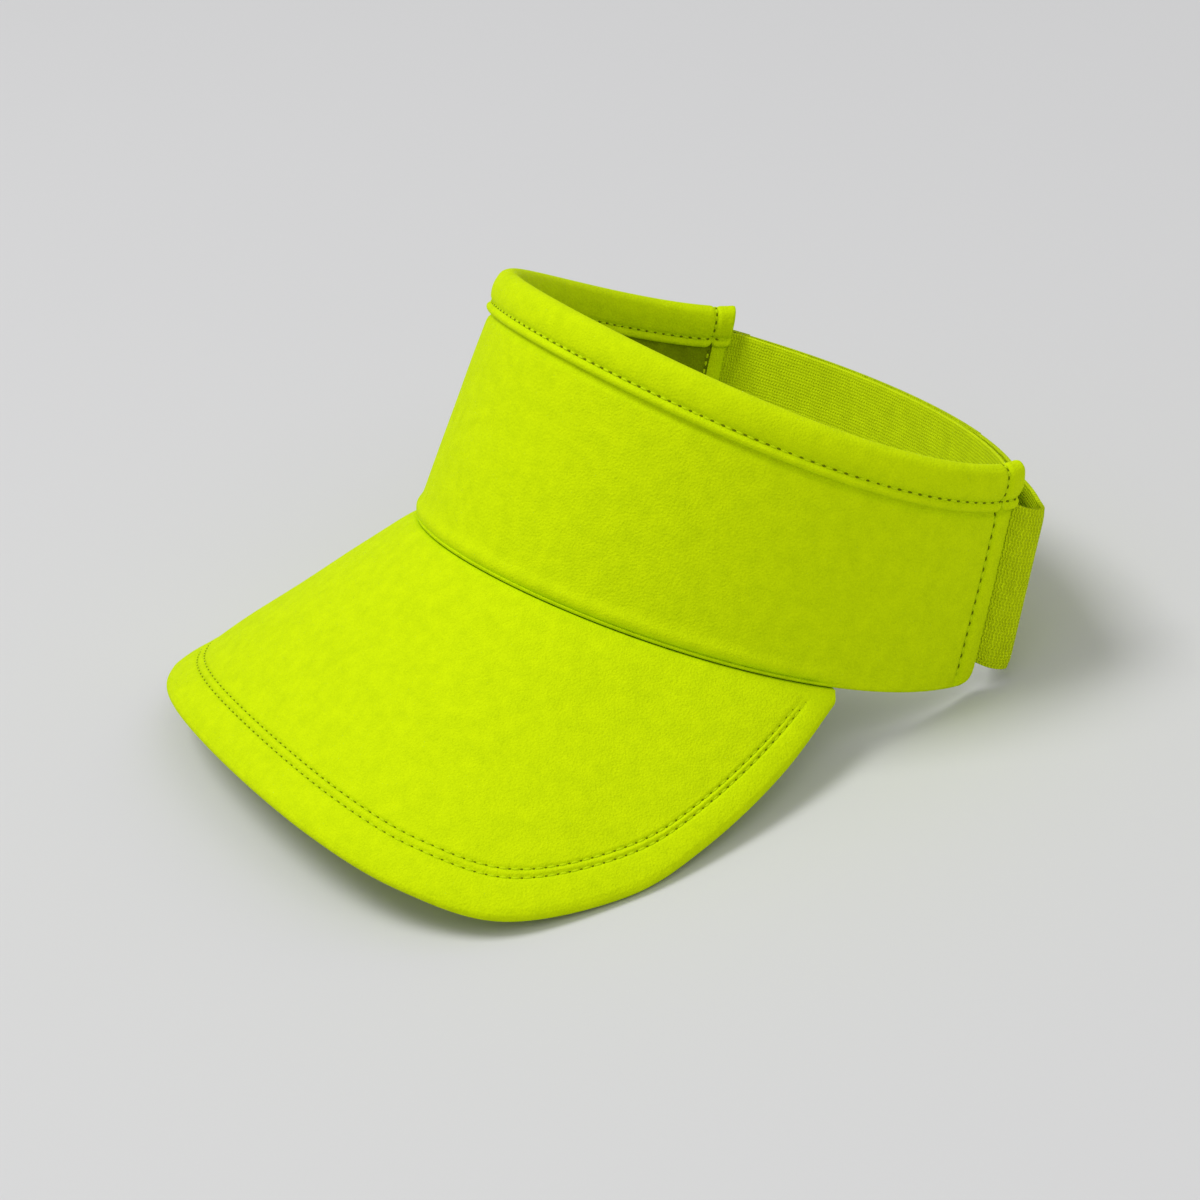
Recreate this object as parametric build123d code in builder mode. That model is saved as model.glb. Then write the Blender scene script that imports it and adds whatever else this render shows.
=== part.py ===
"""Sports sun visor: padded front band, arched brim and an adjustable elastic rear strap.

The visor stands on a table the way it is put down: on the two low side edges of its brim
and on the lower edge of its rear strap.  +Z is up, the brim points along -Y and the
wearer's left is +X.  All sizes are in millimetres and degrees.
"""

from build123d import *
import os
from math import cos, radians, sin, sqrt

os.makedirs("parts", exist_ok=True)

# ---- Driving dimensions -----------------------------------------------------------------

# Head band, lower edge: part of an ellipse seen from above, falling from front to tabs
low_half_width = 73.2
low_half_depth = 81.0
low_front_height = 55.0
low_tab_height = 3.13

# Head band, upper edge, a little wider than the lower one
top_flare = 0.3
top_half_depth = 68.5
top_set_back = 38.6
top_front_height = 110.8
top_tab_height = 55.93

# Turn of both edges, seen from above, from the front centre to each rear tab
tab_sweep = 105.5

# Both edges fall along a power curve: 1 would be a straight fall, more makes it sag
edge_fall = 1.3

# Cloth thicknesses and the seam clearance between layers
lining_thickness = 0.7
padding_thickness = 2.0
shell_thickness = 0.9
binding_thickness = 0.7
ply_gap = 0.05

# Binding folded over the upper edge, and the absorbent sweatband low inside the front
binding_depth = 10.0
sweatband_height = 30.0
sweatband_thickness = 1.2
sweatband_low = 3.0
sweatband_reach = 0.62

# Rear tabs: the pocket left free of padding, and the rounded bottom corner
tab_pocket = 11.0
tab_corner = 3.5
corner_margin = 1.0

# Brim: a squared-off front that sweeps back to its widest place and in again to the band
brim_reach = 70.0
brim_tip_height = 18.3
brim_half_width = 98.0
brim_widest_y = -12.0
brim_low_height = 0.72
brim_squareness = 2.65
brim_arch_power = 3.0
brim_flank_power = 1.9
brim_flank_lift = 1.55
brim_join = 0.77
brim_end_heading = (-0.35, 1, 0.45)
brim_board_thickness = 1.4
brim_cover_thickness = 0.9
brim_ply_gap = 0.15
brim_turn_gap = 0.5
brim_seam_gap = 0.6
brim_board_inset = 1.6
brim_end = 0.965
brim_nose_reach = 0.2
seam_tape_width = 7.0
seam_tape_thickness = 0.5
seam_tape_start = 1.5
seam_tape_reach = 0.88

# Elastic rear strap: an inner ply, a loop round the keeper, an outer ply and a hooked tail
strap_width = 43.0
strap_thickness = 1.1
strap_place = 0.525
strap_rise = 27.5
patch_thickness = 0.5
patch_height = 36.0
run_clearance = 0.3
joint_gap = 0.4
arc_end_gap = 10.7
loop_end_gap = 13.7
tail_start_x = -18.0
tail_overlap = 8.3
tail_forward = 1.5
tail_fold_length = 9.0
hook_start_gap = 6.0
hook_end_gap = 29.0
loop_patch_start_x = 10.0
loop_patch_end_gap = 2.0
sewn_depth = 8.0
turn_depth = 6.0
pocket_gap = 0.2
pocket_mouth = 0.6
pocket_straight = 2.0

# Where the loop swells out behind the left tab: back from the tab, out from its padding
loop_swell = ((4.2, 4.4), (8.5, 6.0), (11.6, 2.4))

# Notch in the binding's inner leg where the strap turns
notch_margin = 3.0
notch_overrun = 1.0
notch_depth_gap = 0.65
notch_gap = 0.4

# Keeper bar that the strap turns round, as thick as the tab's pocket leaves room for
keeper_gap = 0.15
keeper_binding_gap = 0.3
keeper_end = 0.6
keeper_top_gap = 1.0
keeper_bottom_gap = 2.6

band_stations = 15
brim_stations = 17

# ---- Sizes that follow from the ones above ----------------------------------------------

top_half_width = low_half_width + top_flare
lining_inner = -ply_gap - lining_thickness
shell_inner = padding_thickness + ply_gap
shell_outer = shell_inner + shell_thickness
binding_inner = lining_inner - ply_gap
binding_outer = shell_outer + ply_gap
brim_half_thickness = brim_board_thickness / 2 + brim_ply_gap + brim_cover_thickness
turn = 1 - cos(radians(tab_sweep))
tab_run = top_set_back + (top_half_depth - low_half_depth) * turn
tab_rise = top_tab_height - low_tab_height
tab_slope_length = sqrt(tab_run**2 + tab_rise**2)
strap_back = (strap_rise + strap_thickness / 2) * tab_rise / tab_slope_length
strap_back += strap_width / 2 * tab_run / tab_slope_length
rear_reach = low_half_depth * turn + strap_place * tab_run + strap_back
front_y = (brim_reach + brim_nose_reach - rear_reach) / 2

# Strap: its curve passes close outside both tabs, and all its plies share that curve's centre
tab_middle_x = low_half_width + top_flare * strap_place
tab_middle_x *= sin(radians(tab_sweep))
tail_end_x = -tab_middle_x - tail_overlap
tail_drop = strap_rise + tail_forward
strap_radius = (tail_end_x**2 + tail_drop**2) / (2 * tail_drop)
inner_radius = strap_radius - strap_thickness - 2 * (patch_thickness + ply_gap) - run_clearance
arc_end_x = tab_middle_x - arc_end_gap
loop_end_x = tab_middle_x - loop_end_gap
loop_patch_end_x = loop_patch_end_gap - arc_end_x
hook_start_x = tail_start_x - hook_start_gap
hook_end_x = tail_end_x + hook_end_gap

# Strap in the tabs, measured outwards from the padding's inner face
sewn_offset = shell_inner / 2
outer_offset = shell_inner - pocket_gap - strap_thickness / 2
keeper_outer = outer_offset - strap_thickness / 2 - keeper_gap
keeper_inner = binding_inner + keeper_binding_gap
keeper_thickness = keeper_outer - keeper_inner
turn_middle = (keeper_outer + keeper_inner) / 2
turn_radius = outer_offset - turn_middle
inner_offset = turn_middle - turn_radius


# ---- Curves of the head band ------------------------------------------------------------


def edge_point(t, half_width, half_depth, set_back, front_height, tab_height):
    """A point of a band edge; t runs from -1 at the right tab to 1 at the left tab."""
    angle = radians(tab_sweep * t)
    depth = half_depth * (1 - cos(angle))
    full_depth = half_depth * (1 - cos(radians(tab_sweep)))
    left_to_fall = max(0.0, 1 - depth / full_depth) ** edge_fall
    height = tab_height + (front_height - tab_height) * left_to_fall
    return Vector(half_width * sin(angle), front_y + set_back + depth, height)


def low_edge(t):
    return edge_point(t, low_half_width, low_half_depth, 0, low_front_height, low_tab_height)


def top_edge(t):
    return edge_point(
        t, top_half_width, top_half_depth, top_set_back, top_front_height, top_tab_height
    )


def band_height(t):
    return (top_edge(t) - low_edge(t)).length


def band_plane(t):
    """Section plane of the band: local X runs up the band, local Y points outwards."""
    step = 0.01
    up = (top_edge(t) - low_edge(t)).normalized()
    along = (low_edge(t + step) + top_edge(t + step)) - (low_edge(t - step) + top_edge(t - step))
    along = (along - up * along.dot(up)).normalized()
    return Plane(origin=low_edge(t), x_dir=up, z_dir=along)


def spread(start, end, count):
    """Evenly spaced values from start to end, both included."""
    return [start + (end - start) * index / (count - 1) for index in range(count)]


def band_share(length):
    """How much of t a length along the band takes near a tab."""
    step = 0.01
    middle = (low_edge(1) + top_edge(1)) / 2
    before = (low_edge(1 - step) + top_edge(1 - step)) / 2
    return length * step / (middle - before).length


pocket_share = band_share(tab_pocket)


def layer_section(t, inner, outer, low, high):
    """Rectangular section of one cloth layer at t."""
    with BuildSketch(band_plane(t)) as section:
        with Locations(((low + high) / 2, (inner + outer) / 2)):
            Rectangle(high - low, outer - inner)
    return section.sketch


def layer_sections(t_from, t_to, inner, outer):
    """Sections of a layer that is as high as the band."""
    return [
        layer_section(t, inner, outer, 0, band_height(t))
        for t in spread(t_from, t_to, band_stations)
    ]


def corner_offcut(side):
    """What is cut off the bottom corner of the left (1) or right (-1) tab to round it."""
    plane = band_plane(side)
    face = Plane(origin=plane.origin, x_dir=plane.z_dir * -side, z_dir=plane.y_dir * -side)
    square = tab_corner + corner_margin
    with BuildSketch(face) as offcut:
        with Locations((tab_corner, tab_corner)):
            Rectangle(square, square, align=(Align.MAX, Align.MAX))
            Circle(tab_corner, mode=Mode.SUBTRACT)
    return offcut.sketch


# ---- Head band --------------------------------------------------------------------------

with BuildPart() as band_shell:
    loft(layer_sections(-1, 1, shell_inner, shell_outer))
    for side in (-1, 1):
        extrude(corner_offcut(side), amount=binding_outer, both=True, mode=Mode.SUBTRACT)

with BuildPart() as band_padding:
    loft(layer_sections(pocket_share - 1, 1 - pocket_share, 0, padding_thickness))

with BuildPart() as band_lining:
    loft(layer_sections(-1, 1 - pocket_share, lining_inner, -ply_gap))
    extrude(corner_offcut(-1), amount=binding_outer, both=True, mode=Mode.SUBTRACT)

sweat_outer = lining_inner - ply_gap
sweat_inner = sweat_outer - sweatband_thickness

with BuildPart() as sweatband:
    loft(
        [
            layer_section(t, sweat_inner, sweat_outer, sweatband_low, sweatband_low + sweatband_height)
            for t in spread(-sweatband_reach, sweatband_reach, band_stations)
        ]
    )


def binding_section(t):
    """Folded section of the binding: two legs joined by a round crown."""
    top = band_height(t) + ply_gap
    hem = band_height(t) - binding_depth
    inside = binding_inner - binding_thickness
    outside = binding_outer + binding_thickness
    crown = (top + 2 * binding_thickness, (inside + outside) / 2)
    with BuildSketch(band_plane(t)) as section:
        with BuildLine():
            Polyline(
                (top, inside), (hem, inside), (hem, binding_inner), (top, binding_inner),
                (top, binding_outer), (hem, binding_outer), (hem, outside), (top, outside),
            )
            ThreePointArc((top, outside), crown, (top, inside))
        make_face()
    return section.sketch


# ---- Brim -------------------------------------------------------------------------------

join_point = low_edge(brim_join)


def brim_front_point(angle):
    """A point of the brim's front outline, from its tip (0) to its widest place (90)."""
    power = 2 / brim_squareness
    across = sin(radians(angle)) ** power
    x = brim_half_width * across
    y = brim_widest_y - (brim_widest_y + brim_reach) * cos(radians(angle)) ** power
    z = brim_low_height + (brim_tip_height - brim_low_height) * (1 - across**brim_arch_power)
    return (x, front_y + y, z)


def brim_flank_point(share):
    """A point of the brim's side outline, from its widest place (0) to the band (1)."""
    x = join_point.X + (brim_half_width - join_point.X) * (1 - share**brim_flank_power)
    widest = front_y + brim_widest_y
    y = widest + (join_point.Y - widest) * share
    z = brim_low_height + (join_point.Z - brim_low_height) * share**brim_flank_lift
    return (x, y, z)


with BuildLine() as brim_outline:
    Spline(
        *[brim_front_point(angle) for angle in (0, 20, 42, 66)],
        *[brim_flank_point(share) for share in (0, 0.3, 0.65, 1)],
        tangents=[(1, 0, 0), brim_end_heading],
    )
brim_edge_curve = brim_outline.edges()[0]


def brim_edge(s):
    """The brim's outer edge; s runs from -1 at the right end to 1 at the left end."""
    point = brim_edge_curve @ abs(s)
    return Vector(point.X if s >= 0 else -point.X, point.Y, point.Z)


def brim_root(s):
    """Where the brim's middle surface starts, under the middle of the band's thickness."""
    plane = band_plane(s * brim_join)
    return plane.origin + plane.y_dir * (shell_outer + lining_inner) / 2


def brim_plane(s):
    """Section plane of the brim: local X runs out to its edge, local Y points up."""
    step = 0.005
    out = (brim_edge(s) - brim_root(s)).normalized()
    along = (brim_edge(s + step) + brim_root(s + step)) - (brim_edge(s - step) + brim_root(s - step))
    along = (along - out * along.dot(out)).normalized()
    return Plane(origin=brim_root(s), x_dir=out, z_dir=-along)


def brim_length(s):
    return (brim_edge(s) - brim_root(s)).length


def root_slant(s):
    """Slope of the brim's root face that keeps it parallel to the band's lower face."""
    plane = brim_plane(s)
    up = band_plane(s * brim_join).x_dir
    return up.dot(plane.y_dir) / up.dot(plane.x_dir)


def root_x(s, y):
    return brim_seam_gap - root_slant(s) * y


def board_section(s):
    half = brim_board_thickness / 2
    out = brim_length(s) - brim_half_thickness - brim_board_inset
    with BuildSketch(brim_plane(s)) as section:
        with BuildLine():
            Polyline(
                (root_x(s, half), half), (out, half), (out, -half), (root_x(s, -half), -half),
                close=True,
            )
        make_face()
    return section.sketch


def top_cover_section(s):
    """The top cloth, turned under round the brim's edge."""
    inner = brim_board_thickness / 2 + brim_ply_gap
    outer = brim_half_thickness
    nose = brim_length(s) - outer
    turned = nose - brim_board_inset + brim_turn_gap
    with BuildSketch(brim_plane(s)) as section:
        with BuildLine():
            Polyline(
                (nose, outer), (root_x(s, outer), outer), (root_x(s, inner), inner),
                (turned, inner), (turned, -outer), (nose, -outer),
            )
            ThreePointArc((nose, -outer), (nose + outer, 0), (nose, outer))
        make_face()
    return section.sketch


def under_cover_section(s):
    inner = -brim_board_thickness / 2 - brim_ply_gap
    outer = -brim_half_thickness
    out = brim_length(s) - brim_half_thickness - brim_board_inset
    with BuildSketch(brim_plane(s)) as section:
        with BuildLine():
            Polyline(
                (root_x(s, inner), inner), (out, inner), (out, outer), (root_x(s, outer), outer),
                close=True,
            )
        make_face()
    return section.sketch


brim_places = spread(-brim_end, brim_end, brim_stations)

with BuildPart() as brim_board:
    loft([board_section(s) for s in brim_places])

with BuildPart() as brim_top_cover:
    loft([top_cover_section(s) for s in brim_places])

with BuildPart() as brim_under_cover:
    loft([under_cover_section(s) for s in brim_places])

with BuildPart() as seam_tape:
    tape_sections = []
    for s in spread(-seam_tape_reach, seam_tape_reach, brim_stations):
        with BuildSketch(brim_plane(s)) as section:
            with Locations(
                (
                    root_x(s, -brim_half_thickness) + seam_tape_start + seam_tape_width / 2,
                    -brim_half_thickness - brim_ply_gap - seam_tape_thickness / 2,
                )
            ):
                Rectangle(seam_tape_width, seam_tape_thickness)
        tape_sections.append(section.sketch)
    loft(tape_sections)

# ---- Elastic rear strap -----------------------------------------------------------------

tab_edge = top_edge(1) - low_edge(1)
tab_center = low_edge(1) + tab_edge * strap_place
strap_plane = Plane(
    origin=(0, tab_center.Y, tab_center.Z), x_dir=(1, 0, 0), z_dir=(0, tab_edge.Y, tab_edge.Z)
)
arc_center_y = strap_rise - strap_radius


def tab_spot(back, out, side=1):
    """A place at a tab in the strap's plane: back from its edge, out from its padding."""
    t = 1 + band_share(1) * back
    plane = band_plane(t)
    middle = plane.origin + plane.x_dir * band_height(t) * strap_place
    spot = strap_plane.to_local_coords(middle + plane.y_dir * out)
    return (side * spot.X, spot.Y)


def tab_heading(back, out, side=1):
    """Direction along a tab in the strap's plane, towards the rear."""
    start = tab_spot(back - 0.1, out, side)
    end = tab_spot(back + 0.1, out, side)
    return (end[0] - start[0], end[1] - start[1])


def tab_arc(start_back, end_back, out, side=1):
    """A stretch that follows a tab's curve."""
    return ThreePointArc(
        tab_spot(start_back, out, side),
        tab_spot((start_back + end_back) / 2, out, side),
        tab_spot(end_back, out, side),
    )


def reverse(direction):
    return (-direction[0], -direction[1])


def on_arc(x, radius):
    """The point at x of a strap arc about the shared centre."""
    return (x, arc_center_y + sqrt(radius**2 - x**2))


def arc_heading(x, radius):
    """Direction of a strap arc at x, towards the left."""
    return (sqrt(radius**2 - x**2) / radius, -x / radius)


def strap_arc(start_x, end_x, radius):
    middle = (start_x + end_x) / 2
    return ThreePointArc(on_arc(start_x, radius), on_arc(middle, radius), on_arc(end_x, radius))


with BuildPart() as strap_inner_ply:
    with BuildSketch(strap_plane):
        with BuildLine():
            tab_arc(-sewn_depth, 0, sewn_offset, -1)
            Spline(
                tab_spot(0, sewn_offset, -1),
                on_arc(-arc_end_x, inner_radius),
                tangents=[tab_heading(0, sewn_offset, -1), arc_heading(-arc_end_x, inner_radius)],
            )
            strap_arc(-arc_end_x, arc_end_x, inner_radius)
            Spline(
                on_arc(arc_end_x, inner_radius),
                tab_spot(-pocket_straight, inner_offset),
                tangents=[
                    arc_heading(arc_end_x, inner_radius),
                    reverse(tab_heading(-pocket_straight, inner_offset)),
                ],
            )
            tab_arc(-pocket_straight, -turn_depth, inner_offset)
        trace(line_width=strap_thickness)
    extrude(amount=strap_width / 2, both=True)

with BuildPart() as strap_loop:
    with BuildSketch(strap_plane):
        with BuildLine():
            ThreePointArc(
                tab_spot(-turn_depth - ply_gap, inner_offset),
                tab_spot(-turn_depth - turn_radius, turn_middle),
                tab_spot(-turn_depth - ply_gap, outer_offset),
            )
            tab_arc(-turn_depth - ply_gap, pocket_mouth, outer_offset)
            Spline(
                tab_spot(pocket_mouth, outer_offset),
                *[tab_spot(back, out) for back, out in loop_swell],
                on_arc(loop_end_x, strap_radius),
                tangents=[
                    tab_heading(pocket_mouth, outer_offset),
                    reverse(arc_heading(loop_end_x, strap_radius)),
                ],
            )
        trace(line_width=strap_thickness)
    extrude(amount=strap_width / 2, both=True)


def ribbon(start_x, end_x, radius, thickness, height):
    """A length of strap or patch on an arc about the shared centre."""
    with BuildPart() as piece:
        with BuildSketch(strap_plane):
            with BuildLine():
                strap_arc(start_x, end_x, radius)
            trace(line_width=thickness)
        extrude(amount=height / 2, both=True)
    return piece


strap_outer_ply = ribbon(
    loop_end_x - joint_gap, tail_start_x + joint_gap, strap_radius, strap_thickness, strap_width
)
strap_tail = ribbon(tail_start_x, tail_end_x, strap_radius, strap_thickness, strap_width)
hook_radius = strap_radius - (strap_thickness + patch_thickness) / 2 - ply_gap
hook_patch = ribbon(hook_start_x, hook_end_x, hook_radius, patch_thickness, patch_height)
loop_patch_radius = inner_radius + (strap_thickness + patch_thickness) / 2 + ply_gap
loop_patch = ribbon(
    loop_patch_start_x, loop_patch_end_x, loop_patch_radius, patch_thickness, patch_height
)
fold_radius = strap_radius + strap_thickness + ply_gap
tail_fold = ribbon(
    tail_end_x + tail_fold_length, tail_end_x, fold_radius, strap_thickness, strap_width
)

# The binding's inner leg is cut short above the strap where the strap turns
with BuildPart() as top_binding:
    loft([binding_section(t) for t in spread(-1, 1, band_stations)])
    with BuildSketch(strap_plane):
        with BuildLine():
            Line(
                tab_spot(-turn_depth - notch_margin, inner_offset),
                tab_spot(notch_overrun, inner_offset),
            )
        trace(line_width=strap_thickness + 2 * notch_depth_gap)
    extrude(amount=strap_width / 2 + notch_gap, mode=Mode.SUBTRACT)

# ---- Keeper -----------------------------------------------------------------------------

keeper_top = (1 - strap_place) * band_height(1) - keeper_top_gap
keeper_bottom = keeper_bottom_gap - strap_place * band_height(1)

with BuildPart() as keeper_bar:
    with BuildSketch(strap_plane.offset(keeper_bottom)):
        with BuildLine():
            tab_arc(-turn_depth, -keeper_end, turn_middle)
        trace(line_width=keeper_thickness)
    extrude(amount=keeper_top - keeper_bottom)

# ---- Files ------------------------------------------------------------------------------

for label, piece in {
    "band_shell": band_shell,
    "band_padding": band_padding,
    "band_lining": band_lining,
    "sweatband": sweatband,
    "top_binding": top_binding,
    "brim_board": brim_board,
    "brim_top_cover": brim_top_cover,
    "brim_under_cover": brim_under_cover,
    "seam_tape": seam_tape,
    "strap_inner_ply": strap_inner_ply,
    "strap_loop": strap_loop,
    "strap_outer_ply": strap_outer_ply,
    "strap_tail": strap_tail,
    "tail_fold": tail_fold,
    "hook_patch": hook_patch,
    "loop_patch": loop_patch,
    "keeper_bar": keeper_bar,
}.items():
    piece.part.label = label
    export_step(piece.part, f"parts/{label}.step")
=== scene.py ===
# %% [markdown]
# Sports sun visor: the looks
#
# The CAD model gives every part its size and place.  This script dresses those parts: cloth,
# binding, elastic and thread are made again as thin, soft, stitched pieces over the same form.
# The first step loads the CAD model as a frame that never moves.

# %% Load the frame
import math
from functools import lru_cache

import bmesh
import bpy
from mathutils import Matrix, Vector, noise


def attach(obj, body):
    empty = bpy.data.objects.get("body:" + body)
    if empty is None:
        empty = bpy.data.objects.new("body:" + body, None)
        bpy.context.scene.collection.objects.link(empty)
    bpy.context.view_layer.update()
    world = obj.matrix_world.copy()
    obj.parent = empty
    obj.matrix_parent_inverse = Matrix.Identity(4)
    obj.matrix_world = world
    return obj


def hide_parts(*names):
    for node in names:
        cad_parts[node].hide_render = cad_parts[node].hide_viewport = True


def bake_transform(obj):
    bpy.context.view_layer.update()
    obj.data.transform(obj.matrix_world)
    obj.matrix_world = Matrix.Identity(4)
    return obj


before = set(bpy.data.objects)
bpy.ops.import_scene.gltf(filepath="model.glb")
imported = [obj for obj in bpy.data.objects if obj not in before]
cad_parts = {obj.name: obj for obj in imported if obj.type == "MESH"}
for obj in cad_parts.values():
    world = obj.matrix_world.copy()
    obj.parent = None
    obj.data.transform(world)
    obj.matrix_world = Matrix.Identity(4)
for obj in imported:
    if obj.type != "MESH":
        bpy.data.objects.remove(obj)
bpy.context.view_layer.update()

# %% [markdown]
# ## Studio
#
# A plain pale floor goes on past the edges of the view, so no horizon shows.  A large lamp high
# in front gives the soft key light, a weaker one lights the other side, and an even white world
# lights the shadows.  The Standard view transform keeps a very saturated cloth colour as it is;
# the default one would wash it out.

# %% Floor, world and lamps
scene = bpy.context.scene
scene.view_settings.view_transform = "Standard"
scene.view_settings.look = "None"

floor_form = bmesh.new()
bmesh.ops.create_grid(floor_form, x_segments=1, y_segments=1, size=6)
floor_mesh = bpy.data.meshes.new("floor")
floor_form.to_mesh(floor_mesh)
floor_form.free()
floor_mesh.transform(Matrix.Translation((0, 0, -0.0004)))
floor = bpy.data.objects.new("floor", floor_mesh)
scene.collection.objects.link(floor)

world = bpy.data.worlds.new("studio")
world.use_nodes = True
world.node_tree.nodes["Background"].inputs["Color"].default_value = (1, 1, 1, 1)
world.node_tree.nodes["Background"].inputs["Strength"].default_value = 0.43
scene.world = world


def lamp(name, place, aim, size, power):
    """A square soft box that faces a point."""
    data = bpy.data.lights.new(name, "AREA")
    data.size = size
    data.energy = power
    box = bpy.data.objects.new(name, data)
    box.location = place
    box.rotation_euler = (Vector(aim) - Vector(place)).to_track_quat("-Z", "Y").to_euler()
    scene.collection.objects.link(box)


lamp("key", (-0.65, -1.05, 2.70), (0, 0.02, 0.03), 1.3, 49)
lamp("fill", (1.30, 0.00, 1.50), (0, 0.02, 0.03), 1.4, 6.5)

# %% [markdown]
# The camera looks at the left temple from above and is rolled a little, as if held by hand.

# %% Camera
view_turn = math.radians(66.41)
view_rise = math.radians(26.76)
view_roll = math.radians(10.54)
view_target = Vector((-0.0415, 0.0173, 0.0019))
view_distance = 1.0544

back = Vector(
    (math.sin(view_turn) * math.cos(view_rise), -math.cos(view_turn) * math.cos(view_rise),
     math.sin(view_rise))
)
right = Vector((math.cos(view_turn), math.sin(view_turn), 0))
upward = back.cross(right)
rolled_right = right * math.cos(view_roll) - upward * math.sin(view_roll)
rolled_up = right * math.sin(view_roll) + upward * math.cos(view_roll)

camera_data = bpy.data.cameras.new("camera")
camera_data.lens = 115.0
camera_data.sensor_width = 36
camera = bpy.data.objects.new("camera", camera_data)
camera.matrix_world = Matrix.Translation(view_target + back * view_distance) @ Matrix(
    (rolled_right, rolled_up, back)
).transposed().to_4x4()
scene.collection.objects.link(camera)
scene.camera = camera
print("camera at", [round(v, 3) for v in camera.matrix_world.translation])

# %% [markdown]
# ## Shader sums
#
# A finish is a small net of nodes.  Two helpers keep it readable: a `Wire` is a socket that can
# be used in Python sums, and a `Finish` is one material that nodes are added to.  Each sum adds
# its own Math node, so a formula here reads like a formula on paper.

# %% Wires and finishes


class Wire:
    """A node's output that can be added, taken away and multiplied."""

    def __init__(self, finish, socket):
        self.finish = finish
        self.socket = socket

    def sum(self, operation, first, second):
        return self.finish.add("ShaderNodeMath", {"operation": operation}, {0: first, 1: second})

    def __add__(self, other):
        return self.sum("ADD", self, other)

    def __sub__(self, other):
        return self.sum("SUBTRACT", self, other)

    def __rsub__(self, other):
        return self.sum("SUBTRACT", other, self)

    def __mul__(self, other):
        return self.sum("MULTIPLY", self, other)

    __radd__ = __add__
    __rmul__ = __mul__

    def wave(self):
        """The sine of this value."""
        return self.sum("SINE", self, 0.0)


class Finish:
    """A material made of nodes."""

    def __init__(self, name):
        self.material = bpy.data.materials.new(name)
        self.material.use_nodes = True
        self.tree = self.material.node_tree
        self.shader = self.tree.nodes["Principled BSDF"]

    def add(self, kind, settings, inputs, output=0):
        node = self.tree.nodes.new(kind)
        stops = settings.pop("stops", ())
        for name, value in settings.items():
            setattr(node, name, value)
        for index, (place, shade) in enumerate(stops):
            stop = node.color_ramp.elements
            (stop[index] if index < len(stop) else stop.new(place)).position = place
            stop[index].color = (shade, shade, shade, 1)
        for name, value in inputs.items():
            self.feed(node.inputs[name], value)
        return Wire(self, node.outputs[output])

    def feed(self, socket, value):
        if isinstance(value, Wire):
            self.tree.links.new(value.socket, socket)
        else:
            socket.default_value = value

    def noise(self, place, scale, detail=2.0, roughness=0.5):
        settings = {"Vector": place, "Scale": scale, "Detail": detail, "Roughness": roughness}
        return self.add("ShaderNodeTexNoise", {}, settings, "Fac")

    def mix(self, share, first, second):
        """A colour between two."""
        return self.add(
            "ShaderNodeMix", {"data_type": "RGBA"}, {0: share, 6: first, 7: second}, 2
        )

    def set(self, **values):
        for name, value in values.items():
            self.feed(self.shader.inputs[name.replace("_", " ")], value)

    def bump(self, height, distance, strength=1.0):
        settings = {"Height": height, "Distance": distance, "Strength": strength}
        self.set(Normal=self.add("ShaderNodeBump", {}, settings, "Normal"))


# %% [markdown]
# ## Cloth finishes
#
# The shell is a brushed knit: matt, with a fine grain a few tenths of a millimetre across and a
# soft mottling several millimetres across.  Object coordinates carry the pattern, so it has one
# scale on every piece.  A little sheen lightens it where it turns away, as short fibres do.

# %% Cloth finishes
LIME = (0.665, 0.860, 0.0, 1)
LIME_DEEP = (0.54, 0.725, 0.0, 1)


def knit_finish(name, light, deep, grain=1.0):
    """Matt brushed knit; grain scales how strongly its surface shows."""
    finish = Finish(name)
    place = finish.add("ShaderNodeTexCoord", {}, {}, "Object")
    mottle = finish.noise(place, 240.0, 4.0, 0.62)
    fibres = finish.noise(place, 2300.0, 2.0, 0.7)
    loops = finish.add(
        "ShaderNodeTexVoronoi", {}, {"Vector": place, "Scale": 1500.0}, "Distance"
    )
    share = (mottle - 0.5) * 1.7 + (fibres - 0.5) * 1.8 + 0.42
    ramp = {"stops": ((0.0, 0.0), (1.0, 1.0))}
    share = finish.add("ShaderNodeValToRGB", ramp, {0: share})
    finish.set(
        Base_Color=finish.mix(share, light, deep),
        Roughness=0.80 + fibres * 0.12,
        Sheen_Weight=0.12,
        Sheen_Roughness=0.45,
        Sheen_Tint=light,
        Specular_IOR_Level=0.06,
    )
    finish.bump(loops * 0.55 + fibres * 0.55 + mottle * 0.8, 0.00022 * grain)
    return finish.material


shell_cloth = knit_finish("shell cloth", LIME, LIME_DEEP)
binding_cloth = knit_finish("binding cloth", LIME, LIME_DEEP, 0.8)
# Painted shade: the lining is coloured far darker than the shell, standing in for the shade deep
# inside the band.
lining_cloth_painted_shade = knit_finish("lining cloth", (0.24, 0.32, 0.0, 1), (0.17, 0.23, 0.0, 1), 0.8)
keeper_cloth = knit_finish("keeper cloth", (0.55, 0.78, 0.0, 1), (0.46, 0.66, 0.0, 1), 0.8)

# %% [markdown]
# Elastic is woven: cords of rubber run lengthwise and the weft crosses them in rows.  The strap
# pieces carry a UV map in metres, so a sine across the strap makes the cords, and a second one
# along it makes the weft, shifted by half a stitch from one cord to the next like bricks.

# %% Elastic finish


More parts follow.
